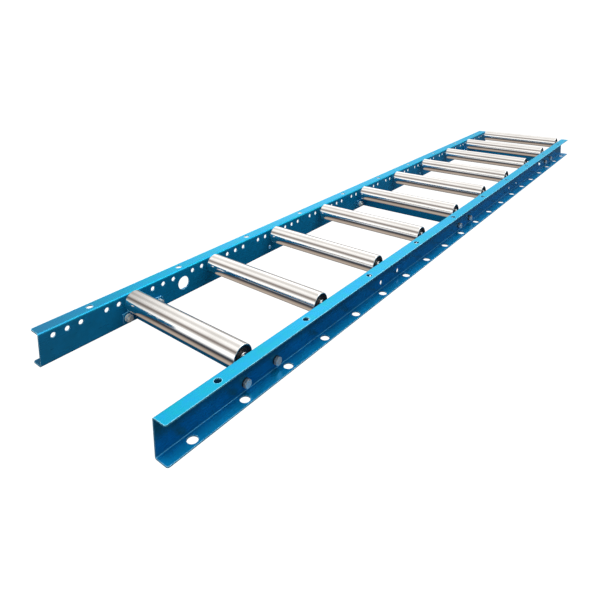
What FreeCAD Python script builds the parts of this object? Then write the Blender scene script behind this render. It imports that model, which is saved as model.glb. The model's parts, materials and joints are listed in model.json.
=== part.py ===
import FreeCAD, Part
import os
import re
import Sketcher

# Gravity roller conveyor, two metres long, in millimetres.
# Frame of the part: X across the conveyor, +Y along it from the near end to the far end, +Z up.
# The origin is the middle of the bottom, on the plane that both side rails stand on.

SIZES = {
    # side rails: one pressed channel, used twice, with its flanges turned outwards
    "rail_length": 2000,
    "rail_height": 60,
    "rail_flange": 27,
    "rail_sheet": 2,
    "bend_inside": 1.5,
    "bend_outside": 3.5,
    "tip_round": 4,
    "rail_gap": 312,
    # holes in the rails, placed on a 25 mm module
    "hole_step": 25,
    "hole_group": 100,
    "group_count": 20,
    "axle_hole": 8.6,
    "axle_height": 47,
    "stand_hole": 16,
    "stand_hole_in": 15,
    "stand_first": 50,
    "guard_hole": 12,
    "guard_hole_in": 14,
    "guard_first": 100,
    "guard_count": 10,
    "cable_hole": 27,
    "cable_height": 29,
    "cable_place": 1700,
    # rollers
    "roller_first": 175,
    "roller_pitch": 200,
    "tube_length": 290,
    "tube_outside": 40,
    "tube_wall": 1.5,
    "rim_depth": 1.5,
    "rim_lip": 1,
    "rim_round": 1.4,
    # end caps and bearings, at both ends of a tube
    "cap_depth": 14,
    "cap_wall": 2,
    "cap_face_recess": 1,
    "cap_face_outer": 16,
    "cap_face_inner": 12,
    "cap_bore": 7.8,
    "cup_outer": 17,
    "cup_inner": 12.4,
    "ball_radius": 3.5,
    "ball_ring": 9.8,
    "ball_place": 135.5,
    "cup_play": 0.3,
    "cone_play": 0.05,
    "cone_outer": 7.2,
    "cone_bore": 4.05,
    "cone_nose": 1.5,
    # spring-loaded axles
    "axle_radius": 4,
    "axle_chamfer": 0.8,
    "axle_left": 160.5,
    "axle_right": 163.5,
    "collar_width": 4,
    "stop_radius": 6.4,
    "collar_radius": 7,
    "collar_place": 70,
    "end_play": 0.1,
    # axle springs
    "wire_radius": 0.8,
    "coil_radius": 5.7,
    "coil_turns": 8,
    # cross braces: a channel with a bolted plate welded on each end
    "brace_place": 200,
    "brace_pitch": 400,
    "brace_bottom": 3.5,
    "brace_height": 22,
    "brace_width": 36,
    "brace_sheet": 2,
    "plate_length": 90,
    "plate_sheet": 3,
    "bolt_spread": 70,
    "bolt_height": 15,
    "bolt_hole": 9,
    # M8 bolts, nuts and washers
    "bolt_radius": 4,
    "bolt_length": 16,
    "head_height": 5.3,
    "nut_height": 6.5,
    "hex_flats": 13,
    "washer_radius": 7.5,
    "washer_sheet": 1.4,
    "thread_play": 0.1,
}

ROLLERS = 10
BALLS = 8
BRACES = (0, 2, 4)          # the brace positions in use, of the five that the rails are drilled for
BRACE_POSITIONS = 5
ROLLER_GAP = 1.0            # least clearance between a brace and a roller

X_AXIS = FreeCAD.Vector(1, 0, 0)
Y_AXIS = FreeCAD.Vector(0, 1, 0)
Z_AXIS = FreeCAD.Vector(0, 0, 1)
UNTURNED = FreeCAD.Rotation()
HALF_TURN = FreeCAD.Rotation(Z_AXIS, 180)
ALONG_X = FreeCAD.Rotation(Y_AXIS, 90)
AGAINST_X = FreeCAD.Rotation(Y_AXIS, -90)

doc = FreeCAD.newDocument("roller_conveyor")
sheet = doc.addObject("Spreadsheet::Sheet", "dims")
scratch = doc.addObject("Spreadsheet::Sheet", "scratch")
nodes = []


def fill_sheet():
    """Write each driving dimension into its own cell, with its name as the alias."""
    for row, (name, number) in enumerate(SIZES.items(), start=1):
        sheet.set(f"A{row}", name)
        sheet.set(f"B{row}", str(number))
        sheet.setAlias(f"B{row}", name)
    doc.recompute()


def named(formula):
    """Turn a formula in the sizes' names into an expression on the sheet."""
    def on_sheet(match):
        return f"dims.{match[0]}" if match[0] in SIZES else match[0]

    return re.sub(r"[a-z_]+", on_sheet, formula)


def number(formula):
    """The value that a formula has now, worked out on a sheet that nothing else depends on."""
    scratch.set("A1", f"={named(formula)}")
    scratch.recompute()
    return float(scratch.get("A1"))


def bind(thing, prop, formula):
    """Drive a property of an object from the sheet."""
    thing.setExpression(prop, named(formula))


def origin_feature(body, role):
    """A plane or an axis of a body's own origin."""
    return next(item for item in body.Origin.OriginFeatures if item.Role == role)


def new_body(name):
    return doc.addObject("PartDesign::Body", name)


def new_sketch(body, name, plane, lift="0"):
    """A sketch on one of the body's origin planes, raised along that plane's normal."""
    sketch = body.newObject("Sketcher::SketchObject", name)
    sketch.AttachmentSupport = (origin_feature(body, plane), [""])
    sketch.MapMode = "FlatFace"
    bind(sketch, "AttachmentOffset.Base.z", lift)
    return sketch


def pin_point(sketch, shape, place, across, up):
    """Fix a point of a sketch at two formulas, counted from the sketch's origin."""
    for kind, axis, formula in (("DistanceX", -2, across), ("DistanceY", -1, up)):
        if formula == "0":
            sketch.addConstraint(Sketcher.Constraint("PointOnObject", shape, place, axis))
            continue
        rule = Sketcher.Constraint(kind, -1, 1, shape, place, number(formula))
        index = sketch.addConstraint(rule)
        bind(sketch, f"Constraints[{index}]", formula)


def draw_outline(sketch, corners):
    """A closed outline of straight sides, with each corner given as two formulas."""
    points = [FreeCAD.Vector(number(across), number(up), 0) for across, up in corners]
    for start, end in zip(points, points[1:] + points[:1]):
        sketch.addGeometry(Part.LineSegment(start, end), False)
    for side in range(len(points)):
        following = (side + 1) % len(points)
        sketch.addConstraint(Sketcher.Constraint("Coincident", side, 2, following, 1))
    for side, (across, up) in enumerate(corners):
        pin_point(sketch, side, 1, across, up)


def draw_circle(sketch, across, up, radius):
    """A circle with its centre and radius given as formulas."""
    centre = FreeCAD.Vector(number(across), number(up), 0)
    shape = sketch.addGeometry(Part.Circle(centre, Z_AXIS, number(radius)), False)
    pin_point(sketch, shape, 3, across, up)
    index = sketch.addConstraint(Sketcher.Constraint("Radius", shape, number(radius)))
    bind(sketch, f"Constraints[{index}]", radius)


def pad(body, sketch, name, length, backwards=False):
    feature = body.newObject("PartDesign::Pad", name)
    feature.Profile = sketch
    feature.Reversed = backwards
    bind(feature, "Length", length)
    doc.recompute()
    return feature


def pocket(body, sketch, name, depth):
    """Cut along the sketch's normal, and make sure that it took material away."""
    before = body.Shape.Volume
    feature = body.newObject("PartDesign::Pocket", name)
    feature.Profile = sketch
    feature.Reversed = True
    bind(feature, "Length", depth)
    doc.recompute()
    if body.Shape.Volume >= before:
        raise RuntimeError(f"{name} cuts nothing")
    return feature


def repeat_along_y(body, feature, name, spacing, count):
    """Repeat a feature at even steps along Y."""
    before = body.Shape.Volume
    pattern = body.newObject("PartDesign::LinearPattern", name)
    pattern.Originals = [feature]
    pattern.Direction = (origin_feature(body, "Y_Axis"), [""])
    bind(pattern, "Length", f"{spacing} * ({count} - 1)")
    bind(pattern, "Occurrences", count)
    body.Tip = pattern
    doc.recompute()
    if body.Shape.Volume >= before:
        raise RuntimeError(f"{name} repeats nothing")


def revolve(body, sketch, name):
    """Turn a sketch of lengths and radii about its horizontal axis, which is the roller's axis."""
    feature = body.newObject("PartDesign::Revolution", name)
    feature.Profile = sketch
    feature.ReferenceAxis = (sketch, ["H_Axis"])
    feature.Angle = 360
    doc.recompute()
    return feature


def round_edges(body, feature, name, radius, chosen):
    """Round the edges of a feature that a test picks out."""
    edges = [f"Edge{i}" for i, edge in enumerate(feature.Shape.Edges, start=1) if chosen(edge)]
    if not edges:
        raise RuntimeError(f"{name} found no edge")
    fillet = body.newObject("PartDesign::Fillet", name)
    fillet.Base = (feature, edges)
    bind(fillet, "Radius", radius)
    doc.recompute()
    return fillet


def turned_body(name, corners):
    """A body of revolution about the roller's axis, from its outline of lengths and radii."""
    body = new_body(name)
    sketch = new_sketch(body, f"{name}_outline", "XY_Plane")
    draw_outline(sketch, corners)
    revolve(body, sketch, f"{name}_turned")
    return body


def at_corner(edge, direction, places):
    """Whether an edge runs along a direction and passes one of some places on the other axes."""
    if not isinstance(edge.Curve, Part.Line):
        return False
    if abs(abs(edge.Curve.Direction.dot(direction)) - 1) > 1e-6:
        return False
    middle = edge.CenterOfMass
    return any(all(abs(middle[axis] - place) < 0.01 for axis, place in spot) for spot in places)


def primitive(kind, name, sizes, place=("0", "0", "0"), rotation=UNTURNED):
    """A Part primitive with its sizes and its place driven from the sheet."""
    solid = doc.addObject(kind, name)
    for prop, formula in sizes.items():
        bind(solid, prop, formula)
    solid.Placement = FreeCAD.Placement(FreeCAD.Vector(), rotation)
    put(solid, place)
    return solid


def put(thing, place):
    """Drive an object's place from three formulas."""
    for letter, formula in zip("xyz", place):
        bind(thing, f"Placement.Base.{letter}", formula)


def cut(name, base, tool):
    result = doc.addObject("Part::Cut", name)
    result.Base = base
    result.Tool = tool
    return result


def common(name, base, tool):
    result = doc.addObject("Part::Common", name)
    result.Base = base
    result.Tool = tool
    return result


def group(name, members):
    result = doc.addObject("Part::Compound", name)
    result.Links = members
    return result


def copy_at(source, name, place=("0", "0", "0"), rotation=UNTURNED):
    """Another one of a piece, turned and then moved."""
    result = group(name, [source])
    result.Placement = FreeCAD.Placement(FreeCAD.Vector(), rotation)
    put(result, place)
    return result


def both_ends(source, name):
    """The same piece at the right-hand end and, turned round, at the left-hand end."""
    right = copy_at(source, f"{name}_right")
    left = copy_at(source, f"{name}_left", rotation=HALF_TURN)
    return group(name, [right, left])


def keep(thing, label):
    """Name a finished sub-part, which gets a file of its own."""
    thing.Label = label
    nodes.append(thing)


# ---- side rails -----------------------------------------------------------------------------


def rail_section(body):
    """The pressed channel: web on the inside at X 0, both flanges reaching out along +X."""
    sketch = new_sketch(body, "rail_outline", "XZ_Plane")
    inner = "rail_height - rail_sheet"
    draw_outline(sketch, [
        ("0", "0"),
        ("rail_flange", "0"),
        ("rail_flange", "rail_sheet"),
        ("rail_sheet", "rail_sheet"),
        ("rail_sheet", inner),
        ("rail_flange", inner),
        ("rail_flange", "rail_height"),
        ("0", "rail_height"),
    ])
    section = pad(body, sketch, "rail_length_pad", "rail_length", backwards=True)
    top, wall = number("rail_height"), number("rail_sheet")
    outside = [[(0, 0), (2, 0)], [(0, 0), (2, top)]]
    inside = [[(0, wall), (2, wall)], [(0, wall), (2, top - wall)]]
    bent = round_edges(body, section, "outside_bends", "bend_outside",
                       lambda edge: at_corner(edge, Y_AXIS, outside))
    bent = round_edges(body, bent, "inside_bends", "bend_inside",
                       lambda edge: at_corner(edge, Y_AXIS, inside))
    tip, end = number("rail_flange"), number("rail_length")
    tips = [[(0, tip), (1, 0)], [(0, tip), (1, end)]]
    round_edges(body, bent, "flange_tips", "tip_round",
                lambda edge: at_corner(edge, Z_AXIS, tips))


def axle_holes(body):
    """Three holes 25 mm apart and a blank place, over and over."""
    sketch = new_sketch(body, "axle_hole_circles", "YZ_Plane")
    for place in (1, 2, 3):
        draw_circle(sketch, f"hole_step * {place}", "axle_height", "axle_hole / 2")
    holes = pocket(body, sketch, "axle_holes", "rail_sheet * 2")
    repeat_along_y(body, holes, "axle_hole_row", "hole_group", "group_count")


def brace_holes(body):
    """A pair of bolt holes low in the web at each of the five brace positions."""
    sketch = new_sketch(body, "brace_hole_circles", "YZ_Plane")
    for side in ("-", "+"):
        draw_circle(sketch, f"brace_place {side} bolt_spread / 2", "bolt_height", "bolt_hole / 2")
    holes = pocket(body, sketch, "brace_holes", "rail_sheet * 2")
    repeat_along_y(body, holes, "brace_hole_row", "brace_pitch", str(BRACE_POSITIONS))


def cable_hole(body):
    sketch = new_sketch(body, "cable_hole_circle", "YZ_Plane")
    draw_circle(sketch, "cable_place", "cable_height", "cable_hole / 2")
    pocket(body, sketch, "cable_hole", "rail_sheet * 2")


def flange_holes(body):
    """Stand holes along the bottom flange and guard-rail holes along the top flange."""
    bottom = new_sketch(body, "stand_hole_circle", "XY_Plane")
    draw_circle(bottom, "stand_hole_in", "stand_first", "stand_hole / 2")
    holes = pocket(body, bottom, "stand_hole", "rail_sheet * 2")
    repeat_along_y(body, holes, "stand_hole_row", "hole_group", "group_count")
    top = new_sketch(body, "guard_hole_circle", "XY_Plane", "rail_height - rail_sheet * 2")
    draw_circle(top, "guard_hole_in", "guard_first", "guard_hole / 2")
    holes = pocket(body, top, "guard_hole", "rail_sheet * 3")
    repeat_along_y(body, holes, "guard_hole_row", "roller_pitch", "guard_count")


def make_rails():
    """One rail used twice: the left one is the right one turned half round."""
    body = new_body("rail")
    rail_section(body)
    axle_holes(body)
    brace_holes(body)
    cable_hole(body)
    flange_holes(body)
    right = copy_at(body, "rail_on_the_right", ("rail_gap / 2", "- rail_length / 2", "0"))
    left = copy_at(body, "rail_on_the_left", ("- rail_gap / 2", "rail_length / 2", "0"), HALF_TURN)
    keep(right, "right_rail")
    keep(left, "left_rail")


# ---- cross braces ---------------------------------------------------------------------------


def brace_channel():
    """The channel across the frame: its web stands on the near side and its flanges point far."""
    body = new_body("brace_channel")
    sketch = new_sketch(body, "brace_outline", "YZ_Plane", "plate_sheet - rail_gap / 2")
    inner = "brace_height - brace_sheet"
    draw_outline(sketch, [
        ("0", "0"),
        ("brace_width", "0"),
        ("brace_width", "brace_sheet"),
        ("brace_sheet", "brace_sheet"),
        ("brace_sheet", inner),
        ("brace_width", inner),
        ("brace_width", "brace_height"),
        ("0", "brace_height"),
    ])
    section = pad(body, sketch, "brace_length_pad", "rail_gap - plate_sheet * 2")
    height, wall = number("brace_height"), number("brace_sheet")
    outside = [[(1, 0), (2, 0)], [(1, 0), (2, height)]]
    inside = [[(1, wall), (2, wall)], [(1, wall), (2, height - wall)]]
    bent = round_edges(body, section, "brace_outside_bends", "bend_outside",
                       lambda edge: at_corner(edge, X_AXIS, outside))
    round_edges(body, bent, "brace_inside_bends", "bend_inside",
                lambda edge: at_corner(edge, X_AXIS, inside))
    return copy_at(body, "brace_channel_placed", ("0", "- brace_width / 2", "brace_bottom"))


def brace_plate():
    """The plate that bolts to the inside of the right-hand rail."""
    body = new_body("brace_plate")
    sketch = new_sketch(body, "plate_outline", "YZ_Plane")
    draw_outline(sketch, [
        ("0", "0"),
        ("plate_length", "0"),
        ("plate_length", "brace_height"),
        ("0", "brace_height"),
    ])
    plate = pad(body, sketch, "plate_pad", "plate_sheet")
    length, height = number("plate_length"), number("brace_height")
    corners = [[(1, along), (2, up)] for along in (0, length) for up in (0, height)]
    round_edges(body, plate, "plate_corners", "tip_round",
                lambda edge: at_corner(edge, X_AXIS, corners))
    holes = new_sketch(body, "plate_hole_circles", "YZ_Plane")
    for side in ("-", "+"):
        draw_circle(holes, f"( plate_length {side} bolt_spread ) / 2", "bolt_height - brace_bottom",
                    "bolt_hole / 2")
    pocket(body, holes, "plate_holes", "plate_sheet * 2")
    place = ("rail_gap / 2 - plate_sheet", "- plate_length / 2", "brace_bottom")
    return copy_at(body, "brace_plate_placed", place)


def make_braces():
    """Three welded braces, under the first, the fifth and the ninth roller."""
    channel = brace_channel()
    plate = brace_plate()
    other = copy_at(plate, "brace_plate_turned", rotation=HALF_TURN)
    doc.recompute()
    brace = doc.addObject("Part::MultiFuse", "brace_weldment")
    brace.Shapes = [channel, plate, other]
    for number_in_use, position in enumerate(BRACES, start=1):
        place = ("0", f"brace_place + brace_pitch * {position} - rail_length / 2", "0")
        keep(copy_at(brace, f"brace_copy_{number_in_use}", place), f"cross_brace_{number_in_use}")


# ---- bolts, nuts and washers ----------------------------------------------------------------


def hexagon(name, height):
    """A hexagon with its outer corners chamfered at thirty degrees, standing on Z 0."""
    corner = "hex_flats / sqrt( 3 )"
    prism = primitive("Part::Prism", f"{name}_prism", {"Circumradius": corner, "Height": height})
    prism.Polygon = 6
    wide = f"hex_flats / 2 + {height} * sqrt( 3 )"
    cone = primitive("Part::Cone", f"{name}_cone",
                     {"Radius1": wide, "Radius2": "hex_flats / 2", "Height": height})
    return common(name, prism, cone)


def make_bolt():
    """The bolt lies along X with its head outside, on the washer at X 0."""
    head = hexagon("bolt_head", "head_height")
    shank = primitive("Part::Cylinder", "bolt_shank",
                      {"Radius": "bolt_radius", "Height": "bolt_length + head_height / 2"},
                      ("0", "0", "- bolt_length"))
    bolt = doc.addObject("Part::MultiFuse", "bolt")
    bolt.Shapes = [head, shank]
    return bolt


def make_nut():
    blank = hexagon("nut_blank", "nut_height")
    hole = primitive("Part::Cylinder", "nut_hole",
                     {"Radius": "bolt_radius + thread_play", "Height": "nut_height * 3"},
                     ("0", "0", "- nut_height"))
    return cut("nut", blank, hole)


def make_washer():
    disc = primitive("Part::Cylinder", "washer_disc",
                     {"Radius": "washer_radius", "Height": "washer_sheet"})
    hole = primitive("Part::Cylinder", "washer_hole",
                     {"Radius": "bolt_radius + thread_play * 2", "Height": "washer_sheet * 3"},
                     ("0", "0", "- washer_sheet"))
    return cut("washer", disc, hole)


def make_fasteners():
    """A bolt, a nut and two washers at each of the twelve brace holes."""
    outside = "rail_gap / 2 + rail_sheet"
    inside = "rail_gap / 2 - plate_sheet"
    seats = {
        "brace_bolts": [(make_bolt(), f"{outside} + washer_sheet", 1)],
        "brace_nuts": [(make_nut(), f"{inside} - washer_sheet", -1)],
        "brace_washers": [(make_washer(), outside, 1)],
    }
    washer = seats["brace_washers"][0][0]
    seats["brace_washers"].append((washer, f"{inside} - washer_sheet", 1))
    for label, stack in seats.items():
        pieces = []
        for position in BRACES:
            for step in ("-", "+"):
                along = f"brace_place + brace_pitch * {position} {step} bolt_spread / 2 - rail_length / 2"
                for side in (1, -1):
                    for piece, reach, outwards in stack:
                        facing = ALONG_X if side * outwards > 0 else AGAINST_X
                        place = (f"( {reach} ) * {side}", along, "bolt_height")
                        pieces.append(copy_at(piece, f"{label}_piece", place, facing))
        keep(group(f"{label}_group", pieces), label)


# ---- rollers --------------------------------------------------------------------------------


def roller_tube():
    """The tube, with each end rolled in over its end cap."""
    inside = "tube_outside / 2 - tube_wall"
    lip = "tube_outside / 2 - tube_wall - rim_lip"
    body = turned_body("tube", [
        ("0", lip),
        ("rim_depth", lip),
        ("rim_depth", inside),
        ("tube_length - rim_depth", inside),
        ("tube_length - rim_depth", lip),
        ("tube_length", lip),
        ("tube_length", "tube_outside / 2"),
        ("0", "tube_outside / 2"),
    ])
    ends = (0, number("tube_length"))
    radius = number("tube_outside / 2")

    def at_rim(edge):
        if not isinstance(edge.Curve, Part.Circle) or abs(edge.Curve.Radius - radius) > 0.01:
            return False
        return any(abs(edge.CenterOfMass.x - end) < 0.01 for end in ends)

    round_edges(body, body.Tip, "tube_rims", "rim_round", at_rim)
    return copy_at(body, "tube_placed", ("- tube_length / 2", "0", "0"))


def end_caps():
    """Black caps pressed into the tube, each with a sunk face and the bearing's seat behind it."""
    face = "tube_length / 2 - rim_depth"
    seat = f"{face} - cap_wall"
    back = f"{face} - cap_depth"
    sunk = f"{face} - cap_face_recess"
    body = turned_body("cap", [
        (back, "cup_outer"),
        (seat, "cup_outer"),
        (seat, "cap_bore"),
        (face, "cap_bore"),
        (face, "cap_face_inner - cap_face_recess / 2"),
        (sunk, "cap_face_inner"),
        (sunk, "cap_face_outer - cap_face_recess / 2"),
        (face, "cap_face_outer"),
        (face, "tube_outside / 2 - tube_wall"),
        (back, "tube_outside / 2 - tube_wall"),
    ])
    return both_ends(body, "cap_pair")


def race_ring(name, play):
    """The ring that the balls sweep, grown by their play."""
    return primitive("Part::Torus", name,
                     {"Radius1": "ball_ring", "Radius2": f"ball_radius + {play}"},
                     ("ball_place", "0", "0"), ALONG_X)


def bearing_cups():
    """Outer races, which turn with the tube."""
    seat = "tube_length / 2 - rim_depth - cap_wall"
    back = "tube_length / 2 - rim_depth - cap_depth"
    body = turned_body("cup_blank", [
        (back, "cup_inner"),
        (seat, "cup_inner"),
        (seat, "cup_outer"),
        (back, "cup_outer"),
    ])
    return both_ends(cut("cup", body, race_ring("cup_race", "cup_play")), "cup_pair")


def bearing_cones():
    """Inner races, which stand still; the axle slides through them."""
    back = "tube_length / 2 - rim_depth - cap_depth"
    nose = "tube_length / 2 + cone_nose"
    body = turned_body("cone_blank", [
        (back, "cone_bore"),
        (nose, "cone_bore"),
        (nose, "cone_outer - cone_nose / 2"),
        (f"{nose} - cone_nose / 2", "cone_outer"),
        (back, "cone_outer"),
    ])
    return both_ends(cut("cone", body, race_ring("cone_race", "cone_play")), "cone_pair")


def bearing_balls():
    """A ring of balls in each bearing."""
    balls = []
    for place in range(BALLS):
        angle = 360 * place / BALLS
        spot = ("ball_place", f"ball_ring * cos( {angle} )", f"ball_ring * sin( {angle} )")
        balls.append(primitive("Part::Sphere", "ball", {"Radius": "ball_radius"}, spot))
    return both_ends(group("ball_circle", balls), "ball_pair")


def axle():
    """The round axle with two swaged collars: a stop at the right and the spring's seat at the left."""
    start = "axle_left"
    seat = f"{start} - collar_place"
    stop = f"{start} + tube_length / 2 - rim_depth - cap_depth - end_play"
    end = f"{start} + axle_right"
    body = turned_body("axle", [
        ("0", "0"),
        (end, "0"),
        (end, "axle_radius - axle_chamfer"),
        (f"{end} - axle_chamfer", "axle_radius"),
        (stop, "axle_radius"),
        (stop, "stop_radius"),
        (f"{stop} - collar_width", "stop_radius"),
        (f"{stop} - collar_width", "axle_radius"),
        (f"{seat} + collar_width", "axle_radius"),
        (f"{seat} + collar_width", "collar_radius"),
        (seat, "collar_radius"),
        (seat, "axle_radius"),
        ("axle_chamfer", "axle_radius"),
        ("0", "axle_radius - axle_chamfer"),
    ])
    return copy_at(body, "axle_placed", ("- axle_left", "0", "0"))


def axle_spring():
    """The coil spring between the left-hand cone and the axle's collar."""
    length = "tube_length / 2 - rim_depth - cap_depth - end_play * 2 - collar_place"
    body = new_body("spring")
    sketch = new_sketch(body, "spring_wire", "XZ_Plane")
    draw_circle(sketch, "coil_radius", "wire_radius", "wire_radius")
    coil = body.newObject("PartDesign::AdditiveHelix", "spring_coil")
    coil.Profile = sketch
    coil.ReferenceAxis = (sketch, ["V_Axis"])
    coil.Mode = "height-turns-angle"
    bind(coil, "Height", f"{length} - wire_radius * 2")
    bind(coil, "Turns", "coil_turns")
    doc.recompute()
    place = (f"- ( collar_place + end_play + {length} )", "0", "0")
    return copy_at(body, "spring_placed", place, ALONG_X)


def make_rollers():
    """Ten rollers, each on its own axle; the still parts of the bearings are kept as groups."""
    pieces = {
        "tube": roller_tube(),
        "end_caps": end_caps(),
        "bearing_cups": bearing_cups(),
        "axle": axle(),
        "axle_spring": axle_spring(),
    }
    still = {"bearing_cones": bearing_cones(), "bearing_balls": bearing_balls()}
    rings = {name: [] for name in still}
    for roller in range(ROLLERS):
        along = f"roller_first + roller_pitch * {roller} - rail_length / 2"
        place = ("0", along, "axle_height")
        for name, piece in pieces.items():
            label = f"{name}_{roller + 1:02d}"
            keep(copy_at(piece, f"{label}_copy", place), label)
        for name, piece in still.items():
            rings[name].append(copy_at(piece, f"{name}_copy", place))
    for name, copies in rings.items():
        keep(group(f"{name}_group", copies), name)


# ---- checks and files -----------------------------------------------------------------------


def check_document():
    """Stop if any object failed, or if a brace would touch a roller."""
    failed = [item.Name for item in doc.Objects if {"Invalid", "Error"} & set(item.State)]
    if failed:
        raise RuntimeError(f"failed objects: {failed}")
    for node in nodes:
        if node.Shape.isNull() or not node.Shape.isValid() or not node.Shape.Solids:
            raise RuntimeError(f"bad shape: {node.Label}")
    room = number("axle_height - tube_outside / 2 - brace_bottom - brace_height")
    if room < ROLLER_GAP:
        raise RuntimeError("the braces are too high for the rollers")


def write_files():
    """One STEP file for each sub-part."""
    os.makedirs("parts", exist_ok=True)
    for node in nodes:
        solids = node.Shape.Solids
        shape = solids[0] if len(solids) == 1 else Part.makeCompound(solids)
        shape.exportStep(os.path.join("parts", f"{node.Label}.step"))
        print(f"{node.Label}: {len(solids)} solid(s), {shape.Volume / 1000:.2f} cm3")


fill_sheet()
make_rails()
make_braces()
make_fasteners()
make_rollers()
doc.recompute()
check_document()
doc.removeObject(scratch.Name)
write_files()
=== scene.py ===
import json
import math

import bmesh
import bpy
from mathutils import Matrix, Vector

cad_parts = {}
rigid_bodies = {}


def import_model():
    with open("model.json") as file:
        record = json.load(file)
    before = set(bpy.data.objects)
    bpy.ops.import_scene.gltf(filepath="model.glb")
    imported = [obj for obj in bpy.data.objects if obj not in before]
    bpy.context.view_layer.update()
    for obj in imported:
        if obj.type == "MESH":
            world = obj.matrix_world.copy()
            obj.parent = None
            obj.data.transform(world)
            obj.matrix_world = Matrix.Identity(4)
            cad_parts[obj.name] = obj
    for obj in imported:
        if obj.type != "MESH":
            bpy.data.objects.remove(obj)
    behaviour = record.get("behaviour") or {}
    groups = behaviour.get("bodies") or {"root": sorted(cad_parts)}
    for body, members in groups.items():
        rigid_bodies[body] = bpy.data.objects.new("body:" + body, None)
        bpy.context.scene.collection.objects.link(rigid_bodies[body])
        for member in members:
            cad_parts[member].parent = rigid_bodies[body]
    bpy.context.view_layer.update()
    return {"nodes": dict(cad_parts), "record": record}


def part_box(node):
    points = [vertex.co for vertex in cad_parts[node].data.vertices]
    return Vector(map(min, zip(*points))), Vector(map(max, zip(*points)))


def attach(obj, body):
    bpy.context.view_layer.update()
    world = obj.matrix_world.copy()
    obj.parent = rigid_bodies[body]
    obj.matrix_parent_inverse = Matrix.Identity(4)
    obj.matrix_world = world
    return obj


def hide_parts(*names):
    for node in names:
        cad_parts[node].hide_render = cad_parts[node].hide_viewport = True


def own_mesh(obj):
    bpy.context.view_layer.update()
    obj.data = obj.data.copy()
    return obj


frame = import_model()

# A gravity roller conveyor: blue powder-coated channel rails, bright zinc rollers with black end caps.
# Everything is in metres, in the frame of the part: X across, +Y from the near end to the far end, +Z up.

MM = 0.001

# places that the materials follow, read from the frame
WEB_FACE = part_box("right_rail")[0][0]           # the webs' inner faces, to the right and left of the middle
RAIL_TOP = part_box("right_rail")[1][2]
NEAR_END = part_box("right_rail")[0][1]
WASHER_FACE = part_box("brace_washers")[1][0]     # the outer faces of the washers outside the webs

# camera: stands off the near right-hand corner, looking along the conveyor and a little down; its angles
# are in degrees, and its rise is the lens shift, as a share of the picture's width
CAMERA_PLACE = (0.7121, -1.3615, 0.5526)
CAMERA_TURN = 39.37
CAMERA_TILT = 7.88
CAMERA_ROLL = -1.52
CAMERA_LENS = 32.453
CAMERA_RISE = -0.3333

# colours of the materials, linear: pairs are the ends of a cloudy range
PAINT_BODY = ((0.002, 0.145, 0.31), (0.002, 0.175, 0.40))
# the paler, greener tint on the tops of the rails is painted light from above
PAINT_TOP_LIGHT = ((0.002, 0.250, 0.35), (0.004, 0.225, 0.43))
# painted shade on the top of the left rail at its near end
PAINT_NEAR_LEFT_SHADE = (0.022, 0.11, 0.22, 1)
# painted highlights along the edges of the sheet, in two tones
PAINT_EDGE_HIGHLIGHT = ((0.06, 0.40, 0.62, 1), (0.42, 0.66, 0.78, 1))
PAINT_SHEEN = (0.05, 0.70, 1.0, 1)
ZINC_BRIGHT = ((0.80, 0.79, 0.77), (0.90, 0.895, 0.885))
ZINC_DULL = ((0.66, 0.67, 0.64), (0.86, 0.87, 0.84))
# painted shade on the washers against the outside of the webs
WASHER_SHADE = (0.03, 0.04, 0.05, 1)
CAP_BLACK = ((0.006, 0.006, 0.007), (0.014, 0.014, 0.015))
RACE_GREY = ((0.50, 0.50, 0.49), (0.62, 0.62, 0.61))
BALL_GREY = ((0.72, 0.72, 0.72), (0.80, 0.80, 0.80))
AXLE_GREY = ((0.60, 0.59, 0.57), (0.72, 0.71, 0.69))
SPRING_GREY = ((0.26, 0.25, 0.24), (0.38, 0.37, 0.35))

# the backdrop: radius of its flat floor, radius of its curve, height of its wall, and its gap below the part
FLOOR_FLAT = 7.0
FLOOR_CURVE = 2.0
WALL_HEIGHT = 6.0
FLOOR_GAP = 0.6 * MM
FLOOR_SIDES = 96

# what glossy surfaces see: degrees from the near horizon up over the conveyor, and a linear colour
SKY_BANDS = [
    (-180, (0.34, 0.34, 0.34)),
    (-165, (0.15, 0.16, 0.18)),
    (-140, (0.09, 0.10, 0.12)),
    (-110, (0.36, 0.31, 0.27)),
    (-85, (0.58, 0.48, 0.40)),
    (-62, (0.42, 0.34, 0.28)),
    (-44, (0.05, 0.05, 0.06)),
    (-28, (0.06, 0.07, 0.09)),
    (-18, (0.55, 0.58, 0.62)),
    (-8, (1.25, 1.25, 1.25)),
    (18, (1.35, 1.35, 1.33)),
    (28, (0.75, 0.71, 0.68)),
    (42, (0.27, 0.23, 0.21)),
    (50, (0.35, 0.31, 0.29)),
    (64, (1.05, 1.02, 1.00)),
    (82, (1.25, 1.23, 1.20)),
    (98, (0.86, 0.83, 0.80)),
    (110, (0.84, 0.81, 0.78)),
    (128, (1.20, 1.17, 1.14)),
    (155, (1.15, 1.12, 1.10)),
    (170, (0.50, 0.48, 0.46)),
    (180, (0.34, 0.34, 0.34)),
]
# the sky is dimmer towards both sides: the sideways part of a direction, and its brightness there
SKY_SIDES = [
    (-0.85, 0.16),
    (-0.79, 0.20),
    (-0.72, 0.62),
    (0.10, 0.62),
    (0.38, 0.95),
    (0.62, 0.45),
]
SKY_STRENGTH = 1.6
# round soft lamps that only glossy surfaces see: direction, cosine of their outer and inner rim, colour
SKY_LAMPS = [
    ((0.44, 0.42, 0.79), 0.93, 0.98, (2.0, 2.1, 2.2)),
    ((-0.53, 0.70, 0.48), 0.965, 0.995, (0.3, 0.3, 0.3)),
]
# what matt surfaces see, from straight down to straight up
SKY_AMBIENT = [
    (-1.0, (0.020, 0.020, 0.022)),
    (0.0, (0.050, 0.066, 0.061)),
    (1.0, (0.170, 0.190, 0.200)),
]


# ---- node helpers ---------------------------------------------------------------------------


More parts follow.
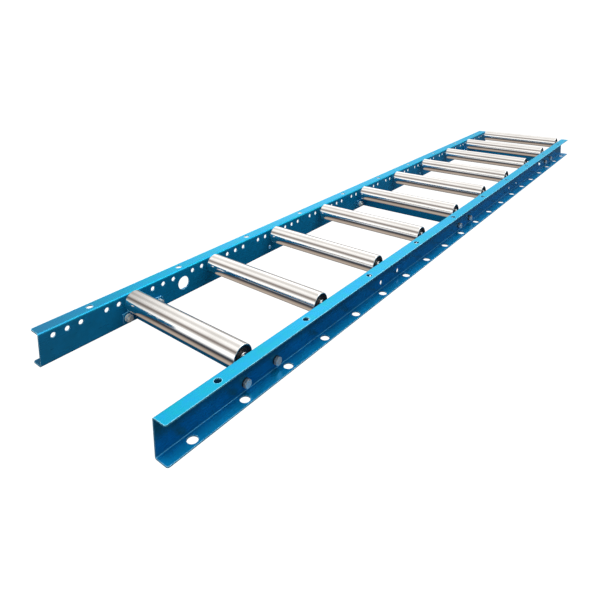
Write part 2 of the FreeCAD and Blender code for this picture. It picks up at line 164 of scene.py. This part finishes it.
class Nodes:
    """A short way to make and join shader nodes."""

    def __init__(self, tree):
        self.tree = tree
        self.tree.nodes.clear()

    def add(self, kind, inputs=None, **settings):
        node = self.tree.nodes.new(kind)
        for name, value in settings.items():
            setattr(node, name, value)
        for name, value in (inputs or {}).items():
            self.feed(node.inputs[name], value)
        return node

    def feed(self, socket, value):
        if isinstance(value, bpy.types.NodeSocket):
            self.tree.links.new(value, socket)
        else:
            socket.default_value = value

    def ramp(self, source, stops):
        node = self.tree.nodes.new("ShaderNodeValToRGB")
        elements = node.color_ramp.elements
        while len(elements) < len(stops):
            elements.new(0.5)
        for element, (place, colour) in zip(elements, stops):
            element.position = place
            element.color = (*colour, 1)
        self.feed(node.inputs["Fac"], source)
        return node.outputs["Color"]

    def noise(self, vector, scale, detail=3.0, roughness=0.5):
        node = self.add("ShaderNodeTexNoise", {
            "Vector": vector, "Scale": scale, "Detail": detail, "Roughness": roughness})
        return node.outputs["Fac"]

    def stretched(self, vector, scale):
        node = self.add("ShaderNodeMapping", {"Vector": vector, "Scale": scale})
        return node.outputs["Vector"]

    def mapped(self, source, low, high, start=0.0, end=1.0):
        node = self.add("ShaderNodeMapRange", {
            "Value": source, "From Min": start, "From Max": end, "To Min": low, "To Max": high})
        return node.outputs["Result"]

    def mix(self, share, first, second, blend_type="MIX"):
        node = self.tree.nodes.new("ShaderNodeMix")
        node.data_type = "RGBA"
        node.blend_type = blend_type
        for name, value in (("Factor", share), ("A", first), ("B", second)):
            self.feed(node.inputs[name], value)
        return node.outputs["Result"]

    def times(self, first, second):
        return self.add("ShaderNodeMath", {0: first, 1: second}, operation="MULTIPLY").outputs[0]

    def bump(self, height, strength, distance):
        node = self.add("ShaderNodeBump", {
            "Height": height, "Strength": strength, "Distance": distance})
        return node.outputs["Normal"]

    def surface(self, **sockets):
        shader = self.add("ShaderNodeBsdfPrincipled")
        for name, value in sockets.items():
            self.feed(shader.inputs[name.replace("_", " ")], value)
        output = self.add("ShaderNodeOutputMaterial")
        self.tree.links.new(shader.outputs["BSDF"], output.inputs["Surface"])


def new_material(name):
    material = bpy.data.materials.new(name)
    material.use_nodes = True
    return material, Nodes(material.node_tree)


def place_vector(nodes):
    """Each point's place in its own piece, which is its place in the part at rest."""
    return nodes.add("ShaderNodeTexCoord").outputs["Object"]


def cloudy(nodes, noise, colours):
    """A colour that drifts between two, as a noise does."""
    return nodes.ramp(noise, list(zip((0.3, 0.7), colours)))


def edge_mask(nodes, radius, low, high):
    """1 on a sharp edge and 0 on a flat face, from how much a rounding would turn the surface there."""
    rounded = nodes.add("ShaderNodeBevel", {"Radius": radius}, samples=4).outputs["Normal"]
    flat = nodes.add("ShaderNodeNewGeometry").outputs["Normal"]
    along = nodes.add("ShaderNodeVectorMath", {0: rounded, 1: flat}, operation="DOT_PRODUCT")
    return nodes.mapped(along.outputs["Value"], 1.0, 0.0, 1.0 - high, 1.0 - low)


# ---- materials ------------------------------------------------------------------------------


def blue_paint():
    """Glossy powder coat with fine orange peel and faint mottling.

    It has painted light: a paler tint on top, painted highlights along its edges, and painted shade at the
    near end of the left rail.
    """
    material, nodes = new_material("blue_paint")
    place = place_vector(nodes)
    axes = nodes.add("ShaderNodeSeparateXYZ", {"Vector": place}).outputs
    mottle = nodes.noise(place, 55.0, 4.0, 0.6)
    body = cloudy(nodes, mottle, PAINT_BODY)
    # painted light: the tops of the rails take a paler, greener tint
    lit_top_colour = cloudy(nodes, mottle, PAINT_TOP_LIGHT)
    top = nodes.mapped(axes["Z"], 0.0, 1.0, RAIL_TOP - 6 * MM, RAIL_TOP - 1 * MM)
    colour = nodes.mix(top, body, lit_top_colour)
    # painted shade: the left rail darkens towards its near end
    left = nodes.mapped(axes["X"], 1.0, 0.0, -WEB_FACE - 4 * MM, -WEB_FACE + 2 * MM)
    end = nodes.mapped(axes["Y"], 0.85, 0.0, NEAR_END, NEAR_END + 220 * MM)
    colour = nodes.mix(nodes.times(left, end), colour, PAINT_NEAR_LEFT_SHADE)
    # painted highlights: the edges of the sheet are made paler
    edge = edge_mask(nodes, 1.8 * MM, 0.01, 0.20)
    edge_highlight_noise = nodes.noise(place, 130.0, 4.0, 0.6)
    edge_highlight = nodes.mix(edge_highlight_noise, *PAINT_EDGE_HIGHLIGHT)
    colour = nodes.mix(edge, colour, edge_highlight)
    metallic = nodes.mapped(edge, 0.5, 0.1)
    scuffs = nodes.noise(nodes.stretched(place, (1.0, 0.15, 1.0)), 60.0, 6.0, 0.7)
    rough = nodes.mapped(scuffs, 0.22, 0.40, 0.35, 0.75)
    peel = nodes.noise(place, 900.0, 2.0)
    nodes.surface(Base_Color=colour, Metallic=metallic, Roughness=rough, Specular_IOR_Level=0.2,
                  Specular_Tint=PAINT_SHEEN, Coat_Weight=0.12, Coat_Roughness=0.10,
                  Coat_IOR=1.4, Normal=nodes.bump(peel, 0.12, 0.4 * MM))
    return material


def zinc_tube():
    """Bright drawn tube: polished round, with faint rings and streaks from the polishing."""
    material, nodes = new_material("zinc_tube")
    place = place_vector(nodes)
    rings = nodes.noise(nodes.stretched(place, (1.0, 0.02, 0.02)), 700.0, 4.0, 0.6)
    colour = cloudy(nodes, nodes.noise(place, 14.0, 4.0), ZINC_BRIGHT)
    rough = nodes.mapped(rings, 0.07, 0.15, 0.3, 0.7)
    nodes.surface(Base_Color=colour, Metallic=1.0, Roughness=rough,
                  Normal=nodes.bump(rings, 0.05, 0.2 * MM))
    return material


def bare_steel(name, colours, smoothest, roughest):
    """Bare or plated steel with fine turning marks."""
    material, nodes = new_material(name)
    place = place_vector(nodes)
    marks = nodes.noise(nodes.stretched(place, (3.0, 1.0, 1.0)), 900.0, 3.0, 0.6)
    colour = cloudy(nodes, nodes.noise(place, 40.0, 3.0), colours)
    rough = nodes.mapped(marks, smoothest, roughest, 0.3, 0.7)
    nodes.surface(Base_Color=colour, Metallic=1.0, Roughness=rough,
                  Normal=nodes.bump(marks, 0.08, 0.2 * MM))
    return material


def black_cap():
    """Moulded plastic with a fine grain."""
    material, nodes = new_material("black_cap")
    place = place_vector(nodes)
    grain = nodes.noise(place, 1400.0, 3.0)
    colour = cloudy(nodes, nodes.noise(place, 60.0), CAP_BLACK)
    rough = nodes.mapped(grain, 0.30, 0.46, 0.3, 0.7)
    nodes.surface(Base_Color=colour, Roughness=rough, Normal=nodes.bump(grain, 0.15, 0.2 * MM))
    return material


def fastener_zinc():
    """Zinc plate on the bolts and nuts; the washers against the outside of the webs carry painted shade."""
    material, nodes = new_material("fastener_zinc")
    place = place_vector(nodes)
    axes = nodes.add("ShaderNodeSeparateXYZ", {"Vector": place}).outputs
    out = nodes.add("ShaderNodeMath", {0: axes["X"]}, operation="ABSOLUTE").outputs[0]
    washer = nodes.mapped(out, 1.0, 0.0, WASHER_FACE, WASHER_FACE + 0.6 * MM)
    outside = nodes.mapped(out, 0.0, 1.0, WEB_FACE + 0.5 * MM, WEB_FACE + 1.5 * MM)
    colour = cloudy(nodes, nodes.noise(place, 300.0, 3.0), ZINC_DULL)
    # painted shade: the washers outside the webs are made dark
    colour = nodes.mix(nodes.times(washer, outside), colour, WASHER_SHADE)
    rough = nodes.mapped(nodes.noise(place, 900.0), 0.30, 0.45, 0.3, 0.7)
    nodes.surface(Base_Color=colour, Metallic=0.8, Roughness=rough)
    return material


def paint_everything():
    """Give each CAD node the material of its slot."""
    slots = {
        "blue_paint": blue_paint(),
        "zinc_tube": zinc_tube(),
        "cap_black": black_cap(),
        "race_steel": bare_steel("race_steel", RACE_GREY, 0.18, 0.30),
        "ball_steel": bare_steel("ball_steel", BALL_GREY, 0.05, 0.10),
        "axle_steel": bare_steel("axle_steel", AXLE_GREY, 0.20, 0.34),
        "spring_steel": bare_steel("spring_steel", SPRING_GREY, 0.30, 0.45),
        "fastener_zinc": fastener_zinc(),
    }
    for entry in frame["record"]["subparts"]:
        mesh = frame["nodes"][entry["node"]].data
        mesh.materials.clear()
        mesh.materials.append(slots[entry["material_slot"]])


# ---- springs --------------------------------------------------------------------------------


def compress_springs():
    """Stand a copy of each axle spring in for it, hung on the joint's parent, and hide the CAD spring."""
    for joint in frame["record"]["behaviour"]["joints"]:
        for spring in joint.get("deforming_nodes", []):
            name = spring["node"]
            coil = bpy.data.objects.new(f"{name}_coil", frame["nodes"][name].data.copy())
            bpy.context.scene.collection.objects.link(coil)
            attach(coil, joint["parent"])
            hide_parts(name)
            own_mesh(coil)


# ---- studio ---------------------------------------------------------------------------------


def make_camera():
    """A camera that looks along and down, with a slight roll, shifted so that its frame holds the part."""
    data = bpy.data.cameras.new("camera")
    data.sensor_width = 36
    data.lens = CAMERA_LENS
    data.shift_y = CAMERA_RISE
    camera = bpy.data.objects.new("camera", data)
    bpy.context.scene.collection.objects.link(camera)
    turn = Matrix.Rotation(math.radians(CAMERA_TURN), 4, "Z")
    tilt = Matrix.Rotation(math.radians(90 - CAMERA_TILT), 4, "X")
    roll = Matrix.Rotation(math.radians(CAMERA_ROLL), 4, "Z")
    camera.matrix_world = Matrix.Translation(CAMERA_PLACE) @ turn @ tilt @ roll
    bpy.context.scene.camera = camera


def make_backdrop():
    """A pale floor that curves up into a wall all round."""
    bends = [math.radians(degrees) for degrees in range(0, 91, 10)]
    profile = [(FLOOR_FLAT + FLOOR_CURVE * math.sin(bend), FLOOR_CURVE * (1 - math.cos(bend)))
               for bend in bends]
    profile.append((FLOOR_FLAT + FLOOR_CURVE, FLOOR_CURVE + WALL_HEIGHT))
    turns = [2 * math.pi * side / FLOOR_SIDES for side in range(FLOOR_SIDES)]
    shape = bmesh.new()
    rings = [[shape.verts.new((reach * math.cos(turn), reach * math.sin(turn), rise)) for turn in turns]
             for reach, rise in profile]
    shape.faces.new(rings[0])
    for lower, upper in zip(rings, rings[1:]):
        for side in range(FLOOR_SIDES):
            following = (side + 1) % FLOOR_SIDES
            shape.faces.new((lower[side], lower[following], upper[following], upper[side]))
    mesh = bpy.data.meshes.new("backdrop")
    shape.to_mesh(mesh)
    shape.free()
    mesh.shade_smooth()
    backdrop = bpy.data.objects.new("backdrop", mesh)
    backdrop.location.z = -FLOOR_GAP
    bpy.context.scene.collection.objects.link(backdrop)
    backdrop.visible_diffuse = False
    backdrop.visible_glossy = False
    backdrop.visible_shadow = False
    material, nodes = new_material("pale_floor")
    nodes.surface(Base_Color=(0.5, 0.5, 0.5, 1), Roughness=0.9, Specular_IOR_Level=0.0,
                  Emission_Color=(1, 1, 1, 1), Emission_Strength=1.1)
    mesh.materials.append(material)


def make_sky():
    """Soft light from all round; along the rollers it falls in bands, as from long softboxes."""
    world = bpy.data.worlds.new("studio")
    bpy.context.scene.world = world
    world.use_nodes = True
    nodes = Nodes(world.node_tree)
    direction = nodes.add("ShaderNodeTexCoord").outputs["Generated"]
    parts = nodes.add("ShaderNodeSeparateXYZ", {"Vector": direction}).outputs
    near = nodes.times(parts["Y"], -1.0)
    angle = nodes.add("ShaderNodeMath", {0: parts["Z"], 1: near}, operation="ARCTAN2").outputs[0]
    turn = nodes.mapped(angle, 0.0, 1.0, -math.pi, math.pi)
    bands = nodes.ramp(turn, [((degrees + 180) / 360, colour) for degrees, colour in SKY_BANDS])
    side = nodes.mapped(parts["X"], 0.0, 1.0, -1.0, 1.0)
    dimming = nodes.ramp(side, [((across + 1) / 2, (level, level, level)) for across, level in SKY_SIDES])
    bands = nodes.mix(1.0, bands, dimming, "MULTIPLY")
    for aim, outer, inner, colour in SKY_LAMPS:
        towards = nodes.add("ShaderNodeVectorMath", {0: direction, 1: aim}, operation="DOT_PRODUCT")
        lit = nodes.mapped(towards.outputs["Value"], 0.0, 1.0, outer, inner)
        bands = nodes.mix(lit, bands, nodes.mix(1.0, bands, (*colour, 1), "ADD"))
    height = nodes.mapped(parts["Z"], 0.0, 1.0, -1.0, 1.0)
    ambient = nodes.ramp(height, [((rise + 1) / 2, colour) for rise, colour in SKY_AMBIENT])
    diffuse = nodes.add("ShaderNodeLightPath").outputs["Is Diffuse Ray"]
    colour = nodes.mix(diffuse, bands, ambient)
    background = nodes.add("ShaderNodeBackground", {"Color": colour, "Strength": SKY_STRENGTH})
    output = nodes.add("ShaderNodeOutputWorld")
    world.node_tree.links.new(background.outputs["Background"], output.inputs["Surface"])


def softbox(name, place, target, size, power, colour):
    """A rectangular light that matt surfaces see; the mirror-like ones see the bands of the sky."""
    data = bpy.data.lights.new(name, "AREA")
    data.color = colour
    data.shape = "RECTANGLE"
    data.size, data.size_y = size
    data.energy = power
    light = bpy.data.objects.new(name, data)
    light.location = place
    aim = Vector(target) - Vector(place)
    light.rotation_euler = aim.to_track_quat("-Z", "Y").to_euler()
    light.visible_glossy = False
    bpy.context.scene.collection.objects.link(light)


def make_lights():
    """A large light over the conveyor, and a weak one low on the near side."""
    softbox("overhead", (0.4, 0.2, 3.0), (0.4, 0.2, 0.0), (2.0, 4.0), 310.0, (0.95, 1.0, 0.96))
    softbox("fill", (0.5, -3.6, 1.0), (0.0, 0.0, 0.0), (2.0, 1.0), 30.0, (0.95, 1.0, 1.0))


make_camera()
make_sky()
make_lights()
make_backdrop()
paint_everything()
compress_springs()
bpy.context.scene.view_settings.view_transform = "Standard"
